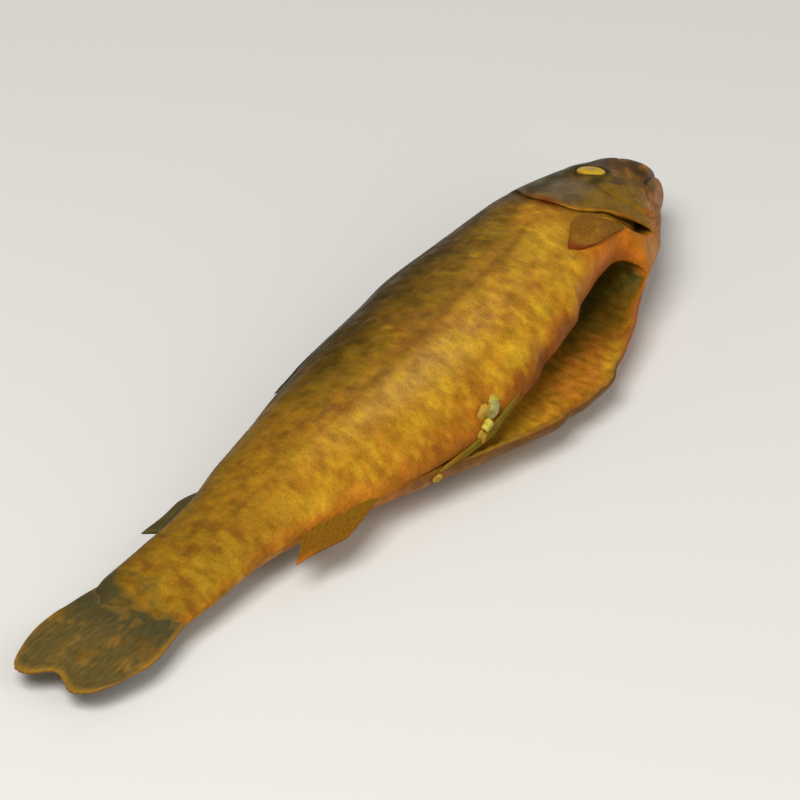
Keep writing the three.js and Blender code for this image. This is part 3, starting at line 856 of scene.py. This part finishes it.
class TROUT_OT_body(Operator):
    """Body with its head, gill covers, belly cut and the hollow behind it"""

    bl_idname = "trout.body"
    bl_label = "Body"

    def execute(self, context):
        look = context.scene.trout_skin
        rings, slots, points, s, angle, arc, lining, gap = body_grid(look.columns, look.rows)
        outside = lining < 0.5
        y, z = points[:, 1], points[:, 2]
        mouth = mouth_gap(s, y) * outside
        socket = np.hypot(s - EYE_AT, y - EYE_Y)
        cheeks = ease(0.2, 0.6, np.abs(z - lift(s)) / half(s)) * outside
        nostrils = sum(bump(s, where, NOSTRIL) for where in NOSTRILS_AT) * bump(y, NOSTRIL_Y, NOSTRIL)
        height = np.where(outside, skin_height(s, angle, arc) * look.relief, lining_height(s, arc))
        height = height + cheeks * socket_height(socket, y) - 1.2 * mouth - 0.9 * nostrils * outside
        paint, spots = paint_skin(look, s, angle, arc)
        paint = painted(
            paint,
            # painted shade in the mouth slit
            (look.spot, 0.7 * mouth),
            (look.crown, 0.8 * cheeks * ease(6.8, 5.4, socket)),
            # painted shade in the gap under the gill cover
            (look.gap, 0.9 * gap),
        )
        paint = np.where(outside[:, None], paint, paint_lining(look, s, angle, arc))
        points = points - normals_of(points, rings) * height[:, None]
        points[:, 2] = np.maximum(points[:, 2], 0)
        values = {"skin_mm": np.column_stack([s, arc, lining * LINING_APART]), "spots": spots}
        materials = [smoked_skin(), cured_flesh(), belly_lining()]
        piece = make_piece("trout_body", points, rings, paint, values, materials, slots)
        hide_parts(NODE)
        return {"FINISHED"}


def levelled(level):
    """Places the rays of a fin that lies nearly level: they are given in plan."""
    return lambda s, y, t, off: np.stack([s, y, np.maximum(level(s, y, t) + off, 0)], axis=-1)


def fin_sheet(
    name, rays, root, middle, tip, place, tints, thick, thin, steps, fray=0.4, relief=0.08, bare=0.03
):
    """A fin as a closed thin sheet with a ridge on each ray, which shows beyond the bare part of its root.

    root, middle and tip give each ray's bend points, place makes millimetres of them, tints paints them.
    """
    across, along = rays * RAY_COLUMNS + 1, steps + 1
    u, t = np.linspace(0, 1, across)[:, None], np.linspace(0, 1, along)[None, :]
    a, b, c = (np.stack(np.broadcast_arrays(*bend(u)), axis=-1) for bend in (root, middle, tip))
    t3 = t[..., None]
    plan = (1 - t3) ** 2 * a + 2 * t3 * (1 - t3) * b + t3 ** 2 * c
    on_ray = np.cos(u * rays * TURN)
    ragged = fray * (cloud(u * rays / 2.6, 3.0 + 0 * u, 2.0) + 0.12 * on_ray) * t ** 3
    tipwards = (c - b) / np.maximum(np.linalg.norm(c - b, axis=-1, keepdims=True), 1e-6)
    plan = plan + tipwards * ragged[..., None]
    ridge = relief * on_ray * ease(bare, bare + 0.22, t) * ease(1.02, 0.8, t)
    wave = 0.25 * cloud(plan[..., 0] / 9, plan[..., 1] / 6, 4.0, 2) * ease(0.1, 0.5, t)
    sheet_half = mix(thick, thin, t) * np.minimum(1, 0.45 + 4 * np.minimum(u, 1 - u)) / 2
    sides = (place(plan[..., 0], plan[..., 1], t, wave + way * (sheet_half + ridge)) for way in (1, -1))
    points = np.concatenate([each.reshape(-1, 3) for each in sides])
    grid = grid_faces(across, along)
    count = across * along
    index = np.arange(count).reshape(across, along)
    here = np.concatenate([index[0, :-1], index[:-1, -1], index[-1, :0:-1], index[:0:-1, 0]])
    after = np.roll(here, -1)
    seam = np.column_stack([after, here, here + count, after + count])
    faces = np.concatenate([grid, grid[:, ::-1] + count, seam])
    a, b, c, d = (points[grid[:, k]] for k in range(4))
    if (np.cross(c - a, d - b) * (points[:count] - points[count:])[grid[:, 0]]).sum() > 0:
        faces = faces[:, ::-1]
    u, t, on_ray = (np.broadcast_to(value, (across, along)).reshape(-1) for value in (u, t, on_ray))
    shine = 0.94 + 0.1 * (0.5 + 0.5 * on_ray) * ease(bare, bare + 0.25, t)
    paint = np.clip(tints(u, t, *plan.reshape(-1, 2).T) * shine[:, None], 0, 1)
    rays_mm = np.column_stack([t * RAY_LENGTH, u * rays * RAY_PITCH])
    values = {"skin_mm": np.column_stack([np.tile(rays_mm, (2, 1)), np.repeat([0, SIDES_APART], count)])}
    return make_piece(name, points, faces.tolist(), np.tile(paint, (2, 1)), values, [dried_fin()])


class TROUT_OT_tail_fin(Operator):
    """Tail fin, folded to a paddle with a shallow fork"""

    bl_idname = "trout.tail_fin"
    bl_label = "Tail fin"

    def execute(self, context):
        look = context.scene.trout_fins

        def tip(u):
            w = 2 * u - 1
            s = TAIL_TIPS - 5 * np.exp(-((w / 0.3) ** 2)) - 14 * w ** 6 - 2.6 * (w + 1)
            return s, side(s) - 15.5 * w

        def level(s, y, t):
            return lift(s) + 0.6 * np.sin((y - side(s)) * 0.35) * ease(262, 285, s)

        def tints(u, t, s, y):
            small, wide = cloud(s / 5, y / 4), cloud(s / 10, y / 6, 3.0)
            return painted(
                look.slate,
                (look.olive, 0.9 * ease(0.25, 0.6, t)),
                (look.amber, 0.5 * ease(0.1, 0.8, wide) * ease(0.3, 0.5, t)),
                (look.rim, 0.35 * ease(0.3, 0.9, small)),
                (look.rim, 0.7 * ease(0.93, 1, t)),
                (look.rim, 0.7 * ease(0.95, 1, u)),
                (look.rim, 0.5 * ease(0.05, 0, u) * ease(0.5, 0.9, t)),
            )

        fin_sheet(
            "tail_fin", 19,
            lambda u: (250.0, side(250.0) - mix(-11.5, 11.5, u)),
            lambda u: (276.0, side(276.0) - mix(-18.2, 18.5, u)),
            tip, levelled(level), tints, thick=3, thin=0.9, steps=60, fray=0.9, relief=0.07, bare=0.34,
        )
        return {"FINISHED"}


def round_tip(at, y, rounding, spread):
    """A fin's tip, which reaches further back in its middle than at its two ends, by the rounding."""
    def tip(u):
        w = 2 * u - 1
        return at - rounding * w * w, y - spread * w

    return tip


def midline_fin(name, rays, root_at, tip_at, inside, rise, thick, which, base, middle_tint, tip_tint):
    """A fin on the back (+1) or belly (-1), whose root and tip run between two distances from the snout."""
    def edge(s, reach):
        return s, side(s) + which * ((back(s) if which > 0 else belly(s)) + reach)

    def tints(u, t, s, y):
        middle = ease(0.1, 0.6, t + 0.2 * cloud(s / 4, y / 3))
        return painted(base, (middle_tint, middle), (tip_tint, 0.85 * ease(0.82, 1, t) * ease(0.5, 0.95, u)))

    fin_sheet(
        name, rays,
        lambda u: edge(mix(*root_at, u), -inside),
        lambda u: edge(mix(mix(*root_at, u), mix(*tip_at, u), 0.5), 0.4 * rise[0]),
        lambda u: edge(mix(*tip_at, u), mix(*rise, u)),
        levelled(lambda s, y, t: lift(s)), tints, thick, thin=0.7, steps=28,
    )


class TROUT_OT_midline_fins(Operator):
    """Dorsal, adipose and anal fins, folded back along the edge of the body"""

    bl_idname = "trout.midline_fins"
    bl_label = "Midline fins"

    def execute(self, context):
        look, hide = context.scene.trout_fins, context.scene.trout_skin
        dark, fatty = (hide.back, hide.ridge, look.slate), (look.fat, look.fat, look.slate)
        midline_fin("dorsal_fin", 12, (118, 152), (142, 166), 3, (3.5, 3), 3, 1, *dark)
        midline_fin("adipose_fin", 2, (208, 229), (219, 235), 2.5, (4, 4.4), 2.6, 1, *fatty)
        golden = (hide.olive, look.amber, hide.breast)
        midline_fin("anal_fin", 11, (180, 208), (205, 221), 3, (8, 7.5), 2.6, -1, *golden)
        return {"FINISHED"}


def paired_fin(name, root_at, root_y, tip_at, tip_y, spread, which):
    """A fin pressed against the right (+1) or left (-1) flank, from its root to its tip in plan."""
    look = bpy.context.scene.trout_fins

    def level(s, y, t):
        return np.maximum(1, flank(s, y, which) + which * mix(-FIN_SINK, 0.45, ease(0, 0.45, t)))

    def tints(u, t, s, y):
        small = cloud(s / 4, y / 3, 6.0)
        return painted(
            look.amber,
            (look.rim, 0.4 * ease(-0.2, 0.7, small)),
            (look.tip, 0.9 * ease(0.8, 0.97, t)),
            (look.rim, 0.5 * ease(0.12, 0, u)),
        )

    fin_sheet(
        name, 11,
        lambda u: (mix(*root_at, u), mix(*root_y, u)),
        lambda u: (mix(root_at[0], tip_at, 0.55), mix(root_y[0], tip_y, 0.5) + mix(spread, -spread, u)),
        round_tip(tip_at, tip_y, 7, 0.45 * spread), levelled(level), tints, thick=1.6, thin=0.7, steps=34,
    )


def cut_edge_fin(name):
    """A fin folded along the cut's upper edge: its rays are given by s and angle, and lie on the skin."""
    look = bpy.context.scene.trout_fins

    def place(s, angle, t, off):
        return skin(s, angle, mix(-FIN_SINK, 0.35, ease(0, 0.45, t)) + off)

    def tints(u, t, s, angle):
        return painted(
            look.membrane,
            (look.amber, 0.7 * ease(0, 0.7, cloud(s / 4, angle / 6, 6.0))),
            (look.rim, 0.5 * ease(0.8, 1, t)),
            (look.tip, 0.5 * ease(0.88, 1, u)),
        )

    fin_sheet(
        name, 8,
        lambda u: (mix(122, 131, u), mix(13, 1, u)),
        lambda u: (mix(142, 150, u), mix(12, -5, u)),
        round_tip(167, -9, 5, 5), place, tints, thick=1.7, thin=0.8, steps=44,
    )


class TROUT_OT_paired_fins(Operator):
    """Pectoral and pelvic fins, pressed against the flanks and pointing to the tail"""

    bl_idname = "trout.paired_fins"
    bl_label = "Paired fins"

    def execute(self, context):
        paired_fin("pectoral_fin_right", (57, 52), (-11, -18), 81, -16.5, 7.6, 1)
        paired_fin("pectoral_fin_left", (55, 50), (-11, -18), 78, -17, 7, -1)
        paired_fin("pelvic_fin_left", (128, 134), (-21, -26), 160, -26, 5, -1)
        cut_edge_fin("pelvic_fin_right")
        return {"FINISHED"}


class TROUT_OT_torn_fat(Operator):
    """Curds of cooked fat where the right pelvic fin has torn from the edge of the belly cut"""

    bl_idname = "trout.torn_fat"
    bl_label = "Torn fat"

    def execute(self, context):
        look = context.scene.trout_fins
        # place along the fish and round it, half lengths along, across and up
        curds = (
            (143.2, 18, 3.2, 1.5, 2.5, look.curd),
            (146.8, 22, 3.0, 1.3, 2.3, look.fringe),
            (141.5, 23, 2.0, 1.2, 1.7, look.pale),
            (147.2, 10, 1.9, 1.5, 1.7, look.pale),
            (150, 3, 1.5, 1.2, 1.9, look.fringe),
            (166, 348, 1.7, 1.2, 1.4, look.fringe),
        )
        around, down = 40, 24
        turn = np.linspace(0, TURN, around, endpoint=False)[None, :]
        slope = np.linspace(0, math.pi, down)[:, None]
        ball = np.cos(slope), np.sin(slope) * np.cos(turn), np.sin(slope) * np.sin(turn)
        way = np.stack(np.broadcast_arrays(*ball), axis=-1)
        points, faces, paints, start = [], [], [], 0
        for at, angle, *sizes, tint in curds:
            lumps = cloud(way[..., 0] * 1.3 + at, way[..., 1] * 1.3, way[..., 2] * 1.3)
            form = skin(np.float64(at), np.float64(angle)) + way * sizes * (1 + 0.22 * lumps[..., None])
            keep, rings, _ = weld(form.reshape(-1, 3), grid_faces(down, around, wrap=True))
            faces += [[v + start for v in ring] for ring in rings]
            points.append(form.reshape(-1, 3)[keep])
            paints.append(np.asarray(tint) * (0.85 + 0.25 * lumps.reshape(-1)[keep])[:, None])
            start += len(keep)
        points, paint = np.concatenate(points), np.clip(np.concatenate(paints), 0, 1)
        make_piece("torn_fat", points, faces, paint, {"skin_mm": points}, [cooked_fat()])
        return {"FINISHED"}


class TROUT_OT_eyes(Operator):
    """Both eyes, clouded by the heat, in their sockets"""

    bl_idname = "trout.eyes"
    bl_label = "Eyes"

    def execute(self, context):
        look = context.scene.trout_eyes
        rings_out, spokes = 26, 60
        r = np.linspace(0, 1, rings_out)[:, None]
        turn = np.linspace(0, TURN, spokes, endpoint=False)[None, :]
        s, y = EYE_AT + look.radius * r * np.cos(turn), EYE_Y + look.radius * r * np.sin(turn)
        # the cornea has sunk in the middle and stands in a low ring
        dome = 1.3 * np.sqrt(np.clip(1 - r ** 2.4, 0, 1)) - 0.3 * bump(r, 0, 0.3) - 0.25 * ease(0.85, 1, r)
        dome = dome + 0.08 * cloud(s / 1.5, y / 1.5)
        for name, which in (("eye_right", 1), ("eye_left", -1)):
            z = np.maximum(flank(s, y, which) + which * dome, 0)
            points = np.stack([s, y, z], axis=-1).reshape(-1, 3)
            keep, rings, _ = weld(points, grid_faces(rings_out, spokes, wrap=True))
            points = points[keep]
            out = np.broadcast_to(r, s.shape).reshape(-1)[keep]
            paint = painted(
                look.ring,
                (look.pupil, 0.7 * ease(0.42, 0.26, out)),
                (look.rim, 0.9 * ease(0.82, 0.97, out)),
            )
            if which < 0:
                rings = [ring[::-1] for ring in rings]
            make_piece(name, points, rings, paint, {"skin_mm": points}, [cooked_eye()])
        return {"FINISHED"}


class TROUT_OT_stage(Operator):
    """Background paper, soft studio light and the camera"""

    bl_idname = "trout.stage"
    bl_label = "Stage"

    def execute(self, context):
        look = context.scene.trout_stage
        scene = context.scene
        reach, under = 4, -0.0004
        corners = [(x * reach, y * reach, under) for x, y in ((-1, -1), (1, -1), (1, 1), (-1, 1))]
        mesh = bpy.data.meshes.new("floor")
        mesh.from_pydata(corners, [], [(0, 1, 2, 3)])
        mesh.materials.append(studio_paper())
        floor = bpy.data.objects.new("floor", mesh)
        scene.collection.objects.link(floor)
        low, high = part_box(NODE)
        centre = (low + high) / 2
        turn, height = math.radians(look.azimuth), math.radians(look.elevation)
        level = math.cos(height)
        towards = Vector((math.sin(turn) * level, -math.cos(turn) * level, math.sin(height)))
        camera = bpy.data.objects.new("camera", bpy.data.cameras.new("camera"))
        camera.data.sensor_width = 36
        camera.data.lens = look.lens
        camera.location = centre + towards * look.distance
        rolled = Quaternion((0, 0, 1), math.radians(look.roll))
        camera.rotation_euler = ((-towards).to_track_quat("-Z", "Y") @ rolled).to_euler()
        scene.collection.objects.link(camera)
        scene.camera = camera
        right, up = Vector((math.cos(turn), math.sin(turn), 0)), Vector((0, 0, 1))
        # place from the middle of the fish in metres, power in watts, side in metres
        for name, place, power, size in (
            ("key_light", towards - right * 0.35 + up * 0.75, 23.5, 0.8),
            ("fill_light", towards * 0.8 + right * 0.9 + up * 0.3, 6, 1.1),
            ("rim_light", -towards * 0.9 + right * 0.3 + up * 1.2, 0.8, 0.9),
        ):
            light = bpy.data.objects.new(name, bpy.data.lights.new(name, "AREA"))
            light.data.energy = power
            light.data.size = size
            light.location = centre + place
            light.rotation_euler = (-place).to_track_quat("-Z", "Y").to_euler()
            scene.collection.objects.link(light)
        world = bpy.data.worlds.new("studio")
        world.use_nodes = True
        sky = {"Color": (1, 0.98, 0.95, 1), "Strength": 0.21}
        connect(world.node_tree, world.node_tree.nodes["Background"], sky)
        scene.world = world
        scene.view_settings.view_transform = "Standard"
        return {"FINISHED"}


class TROUT_PT_panel(Panel):
    """Steps and settings of the smoked trout"""

    bl_label = "Smoked Trout"
    bl_idname = "TROUT_PT_panel"
    bl_space_type = "VIEW_3D"
    bl_region_type = "UI"
    bl_category = "Trout"

    def draw(self, context):
        for operator in OPERATORS:
            self.layout.operator(operator.bl_idname)
        for group_name, group in GROUPS:
            box = self.layout.box()
            for name in group.__annotations__:
                box.prop(getattr(context.scene, group_name), name)


GROUPS = (
    ("trout_skin", TroutSkin),
    ("trout_fins", TroutFins),
    ("trout_eyes", TroutEyes),
    ("trout_stage", TroutStage),
)
OPERATORS = (
    TROUT_OT_body, TROUT_OT_tail_fin, TROUT_OT_midline_fins, TROUT_OT_paired_fins, TROUT_OT_torn_fat,
    TROUT_OT_eyes, TROUT_OT_stage,
)


def register():
    for name, group in GROUPS:
        bpy.utils.register_class(group)
        setattr(bpy.types.Scene, name, PointerProperty(type=group))
    for cls in (*OPERATORS, TROUT_PT_panel):
        bpy.utils.register_class(cls)


def unregister():
    for cls in reversed((*OPERATORS, TROUT_PT_panel)):
        bpy.utils.unregister_class(cls)
    for name, group in reversed(GROUPS):
        delattr(bpy.types.Scene, name)
        bpy.utils.unregister_class(group)


def main():
    register()
    bpy.ops.trout.body()
    bpy.ops.trout.tail_fin()
    bpy.ops.trout.midline_fins()
    bpy.ops.trout.paired_fins()
    bpy.ops.trout.torn_fat()
    bpy.ops.trout.eyes()
    bpy.ops.trout.stage()


if __name__ == "__main__":
    main()
